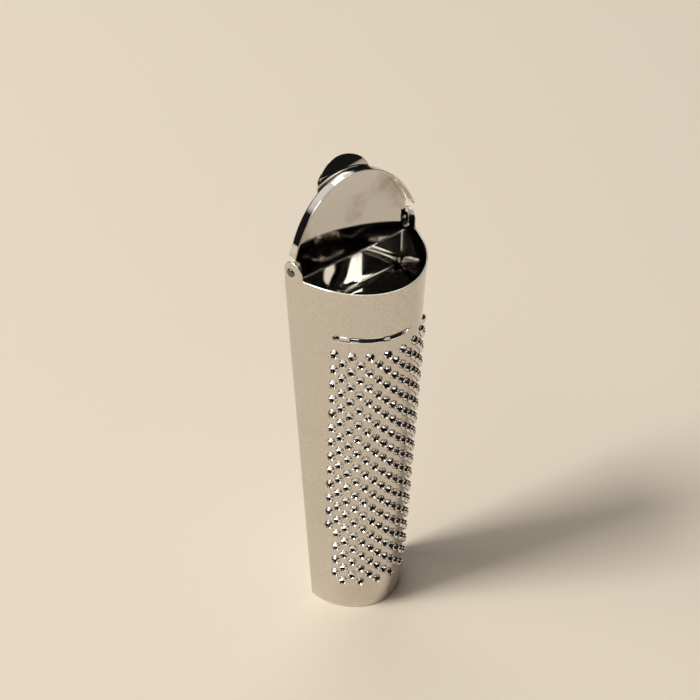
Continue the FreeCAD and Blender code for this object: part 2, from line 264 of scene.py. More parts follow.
class Sheetwork:
    """Points and faces of one piece, each face with the normals of its corners."""

    def __init__(self) -> None:
        """Starts with nothing."""
        self.points: list[Sequence[float]] = []
        self.faces: list[list[int]] = []
        self.normals: list[list[Sequence[float]]] = []

    def add(self, points: Iterable[Sequence[float]]) -> int:
        """Adds points.

        Args:
            points: The points, in mm.

        Returns:
            The number of the first one.
        """
        first = len(self.points)
        self.points.extend(points)
        return first

    def face(self, corners: Sequence[int], normals: Sequence[Sequence[float]]) -> None:
        """Adds a face, turned so that it looks the way that its normals point.

        Args:
            corners: The numbers of its points.
            normals: The direction of the surface at each of them.
        """
        p = np.array([self.points[c] for c in corners], float)
        around = np.roll(p, -1, 0)
        area = np.cross(p, around).sum(0)
        corners, normals = list(corners), list(normals)
        if area @ np.mean(np.array(normals, float), 0) < 0:
            corners.reverse()
            normals.reverse()
        self.faces.append(corners)
        self.normals.append(normals)

    def object(
        self, name: str, move: Callable[[np.ndarray], np.ndarray] | None = None
    ) -> bpy.types.Object:
        """Makes the mesh object.

        Args:
            name: The object's name.
            move: A turn from the piece's own frame to the row frame, for points and for directions.

        Returns:
            The object, at the origin and in metres.
        """
        points = np.array(self.points, float)
        normals = np.array([n for face in self.normals for n in face], float)
        faces = self.faces
        if move:
            origin = move(np.zeros((1, 3)))
            if np.linalg.det(move(np.eye(3)) - origin) < 0:  # a mirrored frame turns the faces round
                faces = [face[::-1] for face in faces]
                normals = np.array([n for face in self.normals for n in face[::-1]], float)
            points, normals = move(points), move(normals) - origin
        normals /= np.maximum(np.linalg.norm(normals, axis=1), 1e-9)[:, None]
        mesh = bpy.data.meshes.new(name)
        mesh.from_pydata((points * MM).tolist(), [], faces)
        mesh.shade_smooth()
        mesh.normals_split_custom_set(normals.tolist())
        return linked(name, mesh)


def linked(name: str, data: bpy.types.ID) -> bpy.types.Object:
    """Makes an object and links it to the scene.

    Args:
        name: The object's name.
        data: Its mesh, lamp or camera.

    Returns:
        The object.
    """
    thing = bpy.data.objects.new(name, data)
    bpy.context.collection.objects.link(thing)
    return thing


def soft_object(
    name: str, points: Iterable[Sequence[float]], faces: Iterable[Sequence[int]], sharp: float = 35.0
) -> bpy.types.Object:
    """Makes a mesh object that is smooth but for its sharp edges.

    Args:
        name: The object's name.
        points: Its points, in mm in the row frame.
        faces: The numbers of each face's points.
        sharp: The angle between faces past which an edge is sharp, in degrees.

    Returns:
        The object.
    """
    mesh = bpy.data.meshes.new(name)
    mesh.from_pydata([[MM * c for c in p] for p in points], [], [list(f) for f in faces])
    work = bmesh.new()
    work.from_mesh(mesh)
    bmesh.ops.remove_doubles(work, verts=work.verts, dist=POLE * MM)
    bmesh.ops.recalc_face_normals(work, faces=work.faces)
    work.to_mesh(mesh)
    work.free()
    mesh.shade_smooth()
    mesh.set_sharp_from_angle(angle=math.radians(sharp))
    return linked(name, mesh)


def bevelled(
    thing: bpy.types.Object, width: float, segments: int = 2, limit: float = 35.0
) -> bpy.types.Object:
    """Rounds the sharp edges of a piece.

    Args:
        thing: The piece.
        width: The bevel's width, in mm.
        segments: The number of steps round the edge.
        limit: The angle past which an edge is rounded, in degrees.

    Returns:
        The same piece.
    """
    step = thing.modifiers.new("edge", "BEVEL")
    step.width, step.segments = width * MM, segments
    step.limit_method, step.angle_limit = "ANGLE", math.radians(limit)
    step.harden_normals = True
    return thing


def tube(rings: int, count: int, closed: bool = False) -> list[tuple[int, ...]]:
    """Faces between rings of points that follow one another.

    Args:
        rings: The number of rings.
        count: The number of points in each ring.
        closed: Whether the last ring joins the first.

    Returns:
        The four corners of each face, ring by ring.
    """
    faces = []
    for ring in range(rings if closed else rings - 1):
        here, there = ring * count, (ring + 1) % rings * count
        for i in range(count):
            j = (i + 1) % count
            faces.append((here + i, here + j, there + j, there + i))
    return faces


def lathe(
    name: str, profile: Sequence[Flat], centre: Point, axis: Point, turns: int = 28
) -> bpy.types.Object:
    """Turns a profile round an axis.

    Args:
        name: The object's name.
        profile: Radius and distance along the axis, from one pole to the other.
        centre: The point on the axis at distance zero, in mm.
        axis: The axis' direction.
        turns: The number of steps round it.

    Returns:
        The closed piece.
    """
    turn = Vector((0, 0, 1)).rotation_difference(Vector(axis)).to_matrix()
    points = [
        turn
        @ Vector((r * math.cos(2 * math.pi * t / turns), r * math.sin(2 * math.pi * t / turns), h))
        + Vector(centre)
        for r, h in profile
        for t in range(turns)
    ]
    return soft_object(name, points, tube(len(profile), turns), 40.0)


def inside(points: np.ndarray, outline: np.ndarray) -> np.ndarray:
    """Tells which points lie inside an outline.

    Args:
        points: The points, one a row.
        outline: The corners of a closed outline.

    Returns:
        True for each point inside.
    """
    found = np.zeros(len(points), bool)
    x, y = points[:, 0], points[:, 1]
    for (ax, ay), (bx, by) in zip(outline, np.roll(outline, -1, 0)):
        if ay == by:
            continue
        crosses = (ay > y) != (by > y)
        found ^= crosses & (x < (bx - ax) * (y - ay) / (by - ay) + ax)
    return found


@dataclass
class Blank:
    """A flat blank with holes, divided into triangles."""

    outline: np.ndarray
    holes: list[np.ndarray]
    grid: np.ndarray
    clearance: float = 0.35
    points: np.ndarray = field(init=False)
    triangles: list[tuple[int, int, int]] = field(init=False)
    loops: list[list[int]] = field(init=False)

    def __post_init__(self) -> None:
        """Divides the blank."""
        loops = [self.outline, *self.holes]
        edge_points = np.concatenate(loops)
        keep = inside(self.grid, self.outline)
        for hole in self.holes:
            keep &= ~inside(self.grid, hole)
        points, edges, self.loops = [], [], []
        for loop in loops:
            first, count = len(points), len(loop)
            points.extend(loop.tolist())
            self.loops.append(list(range(first, first + count)))
            edges.extend((first + i, first + (i + 1) % count) for i in range(count))
        for p in self.grid[keep]:
            if np.min(np.hypot(*(edge_points - p).T)) > self.clearance:
                points.append(p.tolist())
        made, _, faces, *_ = delaunay_2d_cdt([Vector(p) for p in points], edges, [], 0, 1e-7)
        if len(made) != len(points):
            log.warning("the blank's outline crosses itself: %d points, %d made", len(points), len(made))
        self.points = np.array([tuple(p) for p in made], float)
        owner = {corner: number for number, loop in enumerate(self.loops) for corner in loop}
        middles = np.array([self.points[list(f)].mean(0) for f in faces])
        self.triangles = []
        for face, in_outline in zip(faces, inside(middles, self.outline)):
            owners = {owner.get(c, -1) for c in face}
            in_hole = len(owners) == 1 and max(owners) > 0  # its corners are all of one hole
            if in_outline and not in_hole and len(face) == 3:
                self.triangles.append(tuple(face))


# ---------------------------------------------------------------- the body's oval


@dataclass(frozen=True)
class TaperedOval:
    """The oval wall of the grater: half width, half depth and centre at the rim and at the foot.

    A turn is 0 at the front and grows to the right. An arc is a distance along the wall from the front.
    """

    rim: float = 130.0
    top: Point = (21.95, 30.65, 3.0)
    foot: Point = (15.26, 17.15, 0.33)
    measured_turn: float = 1.95  # past the wall's back edges
    measured_steps: int = 400

    def at(self, level: float) -> Point:
        """The oval's half width, half depth and centre at a level."""
        share = level / self.rim
        return tuple(low + share * (high - low) for low, high in zip(self.foot, self.top))

    def point(self, level: float, turn: float, inset: float = 0.0) -> Point:
        """A point of the wall.

        Args:
            level: Its height above the floor.
            turn: Its turn.
            inset: How far it is drawn in, square to the wall.

        Returns:
            The point.
        """
        width, depth, centre = self.at(level)
        nx, ny, _ = self.normal(level, turn)
        y = centre - depth * math.cos(turn) - inset * ny
        return width * math.sin(turn) - inset * nx, y, level

    def normal(self, level: float, turn: float) -> Point:
        """The wall's outward direction, taken as level.

        Args:
            level: The height above the floor.
            turn: The turn.

        Returns:
            The direction, of length 1.
        """
        width, depth, _ = self.at(level)
        nx, ny = math.sin(turn) / width, -math.cos(turn) / depth
        size = math.hypot(nx, ny)
        return nx / size, ny / size, 0.0

    def turn_at_depth(self, level: float, y: float) -> float:
        """The turn at which the wall reaches back to a depth."""
        _, depth, centre = self.at(level)
        return math.acos(max(-1.0, min(1.0, (centre - y) / depth)))

    def arcs(self, level: float) -> tuple[np.ndarray, np.ndarray]:
        """Measures the wall along a level.

        Args:
            level: The height above the floor.

        Returns:
            Turns from the front on, and the arc at each.
        """
        width, depth, _ = self.at(level)
        turns = np.linspace(0, self.measured_turn, self.measured_steps)
        step = np.hypot(width * np.cos(turns), depth * np.sin(turns))
        walked = np.concatenate([[0], np.cumsum((step[1:] + step[:-1]) / 2 * np.diff(turns))])
        return turns, walked

    def turn_at_arc(self, level: float, arc: float) -> float:
        """The turn at an arc."""
        turns, walked = self.arcs(level)
        return math.copysign(float(np.interp(abs(arc), walked, turns)), arc)

    def arc_at_depth(self, level: float, y: float) -> float:
        """The arc at which the wall reaches back to a depth."""
        turns, walked = self.arcs(level)
        return float(np.interp(self.turn_at_depth(level, y), turns, walked))


OVAL = TaperedOval()


# ---------------------------------------------------------------- burrs


@dataclass
class BurrField:
    """The staggered field of punched burrs, each torn open into four petals."""

    columns: int = 15
    rows: int = 17
    edge_rows: int = 13
    top_level: float = 106.45
    row_pitch: float = 5.89
    column_pitch: float = 2.62
    offset: float = -1.86
    slant: float = 0.0125
    hole_radius: float = 1.15
    steps: int = 12
    twist: float = 9.0
    height_spread: float = 0.12
    seed: int = 7

    def places(self) -> list[Flat]:
        """Lays the field out.

        Returns:
            Arc and level of each burr.
        """
        found = []
        for column in range(self.columns):
            rows = self.edge_rows if column in (0, self.columns - 1) else self.rows - column % 2
            arc = (column - 0.5 * (self.columns - 1)) * self.column_pitch + self.offset
            for row in range(rows):
                below = (row + 0.5 * (column % 2)) * self.row_pitch
                found.append((arc + below * self.slant, self.top_level - below))
        return found

    def crown(self) -> bpy.types.Object:
        """Makes one burr: metal pushed out of the sheet and torn at its rim into four petals.

        Returns:
            The burr, with a hole through it, at the origin and facing up.
        """
        rings = (
            # radius, height, how far the petals rise, how far their tips lean out
            (1.52, -0.05, 0.0, 0.0),
            (1.30, 0.30, 0.02, 0.13),
            (0.78, 0.93, 0.28, 0.30),
            (0.56, 0.45, 0.10, 0.08),
            (1.25, -0.51, 0.0, 0.0),
        )
        points = []
        for radius, height, rise, lean in rings:
            for step in range(self.steps):
                turn = 2 * math.pi * step / self.steps
                petal = abs(math.cos(2 * turn)) ** 0.8 * 2 - 1
                r = radius + lean * petal
                points.append((r * math.cos(turn), r * math.sin(turn), height + rise * petal))
        return soft_object("crown", points, tube(len(rings), self.steps, closed=True), 60.0)

    def tree(self) -> bpy.types.NodeTree:
        """Makes the node tree that sets a crown on every place, facing outwards.

        Returns:
            The tree.
        """
        tree = bpy.data.node_groups.new("burr_field", "GeometryNodeTree")
        sockets = (
            ("Places", "INPUT", "NodeSocketGeometry"),
            ("Crown", "INPUT", "NodeSocketObject"),
            ("Twist", "INPUT", "NodeSocketFloat"),
            ("Height spread", "INPUT", "NodeSocketFloat"),
            ("Seed", "INPUT", "NodeSocketInt"),
            ("Steel", "INPUT", "NodeSocketMaterial"),
            ("Burrs", "OUTPUT", "NodeSocketGeometry"),
        )
        for name, way, kind in sockets:
            tree.interface.new_socket(name, in_out=way, socket_type=kind)
        given = add_node(tree, "NodeGroupInput").outputs
        outward = add_node(
            tree, "GeometryNodeInputNamedAttribute", data_type="FLOAT_VECTOR", inputs={"Name": "outward"}
        )
        facing = add_node(tree, "FunctionNodeAlignRotationToVector", axis="Z", inputs={"Vector": outward})
        back = add_node(
            tree, "ShaderNodeMath", operation="MULTIPLY", inputs={0: given["Twist"], 1: -1.0}
        )
        low = add_node(
            tree, "ShaderNodeMath", operation="SUBTRACT", inputs={0: 1.0, 1: given["Height spread"]}
        )
        # inputs 2 and 3 are the least and the most that a random number can be
        twist, tall = (
            add_node(
                tree,
                "FunctionNodeRandomValue",
                data_type="FLOAT",
                inputs={2: least, 3: most, "Seed": given["Seed"]},
            )
            for least, most in ((back, given["Twist"]), (low, 1.0))
        )
        spin = add_node(
            tree, "FunctionNodeAxisAngleToRotation", inputs={"Axis": (0, 0, 1), "Angle": twist}
        )
        turned = add_node(
            tree, "FunctionNodeRotateRotation", rotation_space="LOCAL", inputs={0: facing, 1: spin}
        )
        scale = add_node(tree, "ShaderNodeCombineXYZ", inputs={0: 1.0, 1: 1.0, 2: tall})
        crown = add_node(tree, "GeometryNodeObjectInfo", inputs={"Object": given["Crown"]})
        placed = add_node(
            tree,
            "GeometryNodeInstanceOnPoints",
            inputs={
                "Points": given["Places"],
                "Instance": crown.outputs["Geometry"],
                "Rotation": turned,
                "Scale": scale,
            },
        )
        real = add_node(tree, "GeometryNodeRealizeInstances", inputs={"Geometry": placed})
        dressed = add_node(
            tree, "GeometryNodeSetMaterial", inputs={"Geometry": real, "Material": given["Steel"]}
        )
        add_node(tree, "NodeGroupOutput", inputs={"Burrs": dressed})
        return tree

    def build(self) -> bpy.types.Object:
        """Sets the burrs on the wall.

        Returns:
            All the burrs as one plain mesh.
        """
        points, outward = [], []
        for arc, level in self.places():
            turn = OVAL.turn_at_arc(level, arc)
            points.append([MM * c for c in OVAL.point(level, turn)])
            outward.append(OVAL.normal(level, turn))
        mesh = bpy.data.meshes.new("burr_places")
        mesh.from_pydata(points, [], [])
        mesh.attributes.new("outward", "FLOAT_VECTOR", "POINT").data.foreach_set(
            "vector", np.array(outward, np.float32).ravel()
        )
        source = linked("burr_places", mesh)
        crown = self.crown()
        tree = self.tree()
        step = source.modifiers.new("burrs", "NODES")
        step.node_group = tree
        values = {
            "Crown": crown,
            "Twist": math.radians(self.twist),
            "Height spread": self.height_spread,
            "Seed": self.seed,
            "Steel": BURR_STEEL.material(),
        }
        for item in tree.interface.items_tree:
            if item.in_out == "INPUT" and item.name in values:
                step[item.identifier] = values[item.name]
        bpy.context.view_layer.update()
        baked = bpy.data.meshes.new_from_object(
            source.evaluated_get(bpy.context.evaluated_depsgraph_get())
        )
        baked.name = "burrs"
        for spare in (source, crown):
            bpy.data.objects.remove(spare)
        burrs = linked("burrs", baked)
        BURR_STEEL.dress(burrs)
        return burrs


# ---------------------------------------------------------------- the curved front


@dataclass
class GratingShell:
    """The curved front sheet with its ears, its slot and a hole behind every burr."""

    burrs: BurrField
    back_edge: float = -0.25
    ear_centre: Flat = (-3.6, 131.5)
    ear_radius: float = 3.35
    fillet: float = 0.7
    slot_level: float = 112.75
    slot_height: float = 2.1
    slot_left: float = 21.1
    slot_right: float = 3.9
    slot_taper: float = 3.0
    edge_round: float = 0.12

    def outline(self) -> np.ndarray:
        """Draws the blank's outline.

        Returns:
            Its corners, as arc and level.
        """
        low = self.edge_round  # the edge is rounded down to the floor from here, and up to the rim
        rim_level = OVAL.rim - self.edge_round
        levels = np.linspace(low, self.ear_centre[1], 70)
        side = [(OVAL.arc_at_depth(z, self.back_edge), z) for z in levels]
        y0, z0 = self.ear_centre
        ear = []
        for turn in np.linspace(0, math.pi, 19)[1:]:
            y = y0 + self.ear_radius * math.cos(turn)
            z = z0 + self.ear_radius * math.sin(turn)
            ear.append((OVAL.arc_at_depth(z, y), z))
        foot = y0 - self.ear_radius - self.fillet
        for turn in np.linspace(0, math.pi / 2, 6):
            y = foot + self.fillet * math.cos(turn)
            z = rim_level + self.fillet * (1 - math.sin(turn))
            ear.append((OVAL.arc_at_depth(z, y), z))
        end = ear[-1][0]
        right = side + ear
        rim = [(s, rim_level) for s in np.linspace(end, -end, 50)[1:-1]]
        left = [(-s, z) for s, z in reversed(right)]
        base = side[0][0]
        foot_edge = [(s, low) for s in np.linspace(-base, base, 36)[1:-1]]
        return np.array(right + rim + left + foot_edge)

    def slot(self) -> np.ndarray:
        """Draws the slot, round at its left end and pointed at its right.

        Returns:
            Its corners, as arc and level.
        """
        half = 0.5 * self.slot_height
        centre = half - self.slot_left
        tip, taper = self.slot_right, self.slot_right - self.slot_taper
        round_end = [
            (centre + half * math.cos(t), self.slot_level + half * math.sin(t))
            for t in np.linspace(math.pi / 2, 3 * math.pi / 2, 13)
        ]
        low = [(s, self.slot_level - half) for s in np.linspace(centre, taper, 16)[1:]]
        rise = [
            (s, self.slot_level - half + (s - taper) / (tip - taper) * self.slot_height)
            for s in np.linspace(taper, tip, 5)[1:]
        ]
        high = [(s, self.slot_level + half) for s in np.linspace(tip, centre, 19)[1:-1]]
        return np.array(round_end + low + rise + high)

    @staticmethod
    def round_hole(arc: float, level: float, radius: float, steps: int) -> np.ndarray:
        """The outline of a round hole in the wall."""
        turns = 2 * math.pi * np.arange(steps) / steps
        return np.stack([arc + radius * np.cos(turns), level + radius * np.sin(turns)], 1)

    def build(self) -> bpy.types.Object:
        """Cuts the blank, bends it round the oval and gives it its thickness.

        Returns:
            The sheet.
        """
        shown_holes = [self.slot()]
        for side in (1, -1):
            arc = side * OVAL.arc_at_depth(HINGE[1], HINGE[0])
            shown_holes.append(self.round_hole(arc, HINGE[1], PIN_RADIUS, 16))
        punched = [
            self.round_hole(arc, level, self.burrs.hole_radius, self.burrs.steps)
            for arc, level in self.burrs.places()
        ]
        levels, shares = np.linspace(1.5, 133.5, 52), np.linspace(-0.975, 0.975, 35)
        grid = [
            (share * OVAL.arc_at_depth(level, self.back_edge), level)
            for level in levels
            for share in shares
        ]
        blank = Blank(self.outline(), shown_holes + punched, np.array(grid))
        work = Sheetwork()
        outer, inner, out = [], [], []
        for arc, level in blank.points:
            turn = OVAL.turn_at_arc(level, arc)
            outer.append(OVAL.point(level, turn))
            inner.append(OVAL.point(level, turn, GAUGE))
            out.append(OVAL.normal(level, turn))
        first_outer, first_inner = work.add(outer), work.add(inner)
        back = [(-x, -y, -z) for x, y, z in out]
        for face in blank.triangles:
            work.face([first_outer + c for c in face], [out[c] for c in face])
            work.face([first_inner + c for c in face], [back[c] for c in face])
        for number, loop in enumerate(blank.loops):
            rounded = self.edge_round if number < 1 + len(shown_holes) else 0.0
            self.edge(work, blank, loop, number > 0, rounded, (first_outer, first_inner), out)
        shell = work.object("shell_sheet")
        BODY_STEEL.dress(shell)
        return shell

    def edge(
        self,
        work: Sheetwork,
        blank: Blank,
        loop: list[int],
        is_hole: bool,
        rounded: float,
        firsts: tuple[int, int],
        out: list[Point],
    ) -> None:
        """Closes the sheet along one loop of its edge.

        Args:
            work: The sheet so far.
            blank: The flat blank.
            loop: The numbers of the loop's points.
            is_hole: Whether the loop is a hole, whose edge faces its middle.
            rounded: How far the middle of the edge stands out, in mm, or 0 for a plain edge.
            firsts: The numbers of the first outer and the first inner point.
            out: The wall's outward direction at each point.
        """
        flat = blank.points[loop]
        along = np.roll(flat, -1, 0) - np.roll(flat, 1, 0)
        away = np.stack([along[:, 1], -along[:, 0]], 1)
        away /= np.linalg.norm(away, axis=1)[:, None]
        area = 0.5 * np.sum(flat[:, 0] * np.roll(flat[:, 1], -1) - np.roll(flat[:, 0], -1) * flat[:, 1])
        if (area < 0) != is_hole:
            away = -away
        middle, facing = [], []
        for corner, (da, dz) in zip(loop, away):
            nx, ny, _ = out[corner]
            face = np.array([-ny * da, nx * da, dz])
            sides = [np.array(work.points[first + corner]) for first in firsts]
            middle.append(tuple(sum(sides) / 2 + rounded * face))
            facing.append(face)
        mid = work.add(middle) if rounded else 0
        count = len(loop)
        for i in range(count):
            j = (i + 1) % count
            a, b = loop[i], loop[j]
            na, nb = np.array(out[a]), np.array(out[b])
            if not rounded:
                work.face(
                    [firsts[0] + a, firsts[0] + b, firsts[1] + b, firsts[1] + a],
                    [facing[i], facing[j], facing[j], facing[i]],
                )
                continue
            for first, sign in ((firsts[0], 1.0), (firsts[1], -1.0)):
                work.face(
                    [first + a, first + b, mid + j, mid + i],
                    [facing[i] + sign * na, facing[j] + sign * nb, facing[j], facing[i]],
                )


# ---------------------------------------------------------------- the back, the box floor and its stud


@dataclass
class BackPlate:
    """The flat back between the shell's two edges."""

    top: float = 128.2
    edge: float = 0.1

    def build(self) -> bpy.types.Object:
        """Makes the plate with softened edges.

        Returns:
            The plate.
        """
        half = 0.5 * GAUGE
        rows = []
        for level in np.linspace(0.0, self.top, 9):
            x = OVAL.point(level, OVAL.turn_at_depth(level, -half))[0]
            rows.append((x, level))
        points, faces = [], []
        for y in (-half, half):
            for x, z in rows:
                points += [(-x, y, z), (x, y, z)]
        n = 2 * len(rows)
        for i in range(len(rows) - 1):
            a = 2 * i
            faces += [(a, a + 1, a + 3, a + 2), (n + a, n + a + 2, n + a + 3, n + a + 1)]
            faces += [(a, a + 2, n + a + 2, n + a), (a + 1, n + a + 1, n + a + 3, a + 3)]
        faces += [(0, n, n + 1, 1), (n - 2, n - 1, 2 * n - 1, 2 * n - 2)]
        plate = bevelled(soft_object("back_sheet", points, faces), self.edge)
        BOX_STEEL.dress(plate)
        return plate


@dataclass
class BoxFloor:
    """The pan that closes the storage box from below, with the tongues that sit in the slot."""

    level: float = 113.0
    skirt: float = 4.0
    gap: float = 0.1
    fold: float = 2.4
    edge_round: float = 0.1
    tongue_depth: float = 0.25
    tongue_height: float = 0.95
    tongue_root: float = 0.6
    tongues: tuple[Flat, ...] = ((-19.1, -16.0), (-5.8, -4.0))

    def build(self) -> list[bpy.types.Object]:
        """Makes the pan and its tongues.

        Returns:
            The pan, then its tongues.
        """
        inset = GAUGE + self.gap
        back = -0.5 * GAUGE - self.gap
        middle, small = self.level - self.fold, self.fold - GAUGE
        foot, soft = self.level - self.skirt, self.edge_round
        bend = np.linspace(0, math.pi / 2, 7)
        profile = [(self.fold * (1 - math.sin(t)), middle + self.fold * math.cos(t)) for t in bend]
        profile += [(0.0, foot + soft), (soft, foot), (GAUGE - soft, foot), (GAUGE, foot + soft)]
        profile += [(self.fold - small * math.sin(t), middle + small * math.cos(t)) for t in bend[::-1]]
        steps = 61
        points = []
        for drawn, level in profile:
            y = back - drawn
            end = OVAL.turn_at_depth(level, y)
            ring = [OVAL.point(level, t, inset + drawn) for t in np.linspace(-end, end, steps)]
            ring[0], ring[-1] = (ring[0][0], y, level), (ring[-1][0], y, level)
            points += ring
        last = (len(profile) - 1) * steps
        caps = [tuple(range(steps)), tuple(range(last, last + steps))]
        pan = soft_object("floor_pan", points, tube(len(profile), steps) + caps)
        BOX_STEEL.dress(pan)
        return [pan, *(self.tongue(number, span) for number, span in enumerate(self.tongues, 1))]

    def tongue(self, number: int, span: Flat) -> bpy.types.Object:
        """Makes one tongue of the pan's sheet, which sits in the shell's slot.

        Args:
            number: The tongue's number, for its name.
            span: The arcs that it reaches from and to.

        Returns:
            The tongue.
        """
        top, low = self.level, self.level - self.tongue_height
        root = GAUGE + self.gap + self.tongue_root
        arcs = np.linspace(*span, 9)
        strip = []
        for arc in arcs:
            turn = OVAL.turn_at_arc(top, arc)
            tip, base = (OVAL.point(top, turn, depth)[:2] for depth in (self.tongue_depth, root))
            strip += [(*tip, top), (*tip, low), (*base, low), (*base, top)]
        last = 4 * (len(arcs) - 1)
        caps = [(0, 3, 2, 1), tuple(range(last, last + 4))]
        sheet = soft_object(f"floor_tongue_{number}", strip, tube(len(arcs), 4) + caps)
        tongue = bevelled(sheet, self.edge_round)
        BOX_STEEL.dress(tongue)
        return tongue


def dome(radius: float, height: float, lip: float, sunk: float = 0.02, steps: int = 7) -> list[Flat]:
    """The profile of a rivet's domed head.

    Args:
        radius: The head's radius.
        height: Its height above what it sits on.
        lip: The height of its edge.
        sunk: How far it reaches into what it sits on.
        steps: The number of points over the dome.

    Returns:
        Radius and height of each corner, from the pole down to the seat.
    """
    rows = [
        (max(radius * math.sin(t), POLE), lip + (height - lip) * math.cos(t))
        for t in np.linspace(0, math.pi / 2, steps)
    ]
    return [*rows, (radius, -sunk), (POLE, -sunk)]


@dataclass
class Rivets:
    """The stud in the back plate and the two rivets of the hinge."""

    stud: Flat = (-1.0, 114.5)
    head_radius: float = 1.4
    stud_height: float = 0.6
    rivet_height: float = 0.54
    lip: float = 0.12
    tail: tuple[Flat, ...] = ((POLE, 0.4), (0.95, 0.4), (1.15, 0.28), (1.15, 0.0))
    play: float = 0.05
    shank_short: float = 0.1

    def build(self) -> dict[str, bpy.types.Object]:
        """Turns the heads and tails.

        Returns:
            Each of them by its name.
        """
        y, z = HINGE
        turn = OVAL.turn_at_depth(z, y)
        wx, wy, wz = OVAL.point(z, turn)
        nx, ny, nz = OVAL.normal(z, turn)
        seat = EAR_AT - GAUGE - self.play
        shank = wx - seat - self.shank_short
        head = dome(self.head_radius, self.rivet_height, self.lip)
        tail = [*self.tail, (PIN_RADIUS, 0.0), (PIN_RADIUS, -shank), (POLE, -shank)]
        stud = dome(self.head_radius, self.stud_height, self.lip)
        turned = {"stud_head": (stud, (self.stud[0], -0.5 * GAUGE, self.stud[1]), (0, -1, 0))}
        for side, name in ((1, "right"), (-1, "left")):
            turned[f"rivet_head_{name}"] = (head, (side * wx, wy, wz), (side * nx, ny, nz))
            turned[f"rivet_tail_{name}"] = (tail, (side * seat, y, z), (-side, 0, 0))
        made = {name: lathe(name, *shape) for name, shape in turned.items()}
        # heads, tails and stud get the rivets' colour, which is painted shade
        for thing in made.values():
            RIVET_STEEL_PAINTED_DARK.dress(thing)
        return made


# ---------------------------------------------------------------- the lid


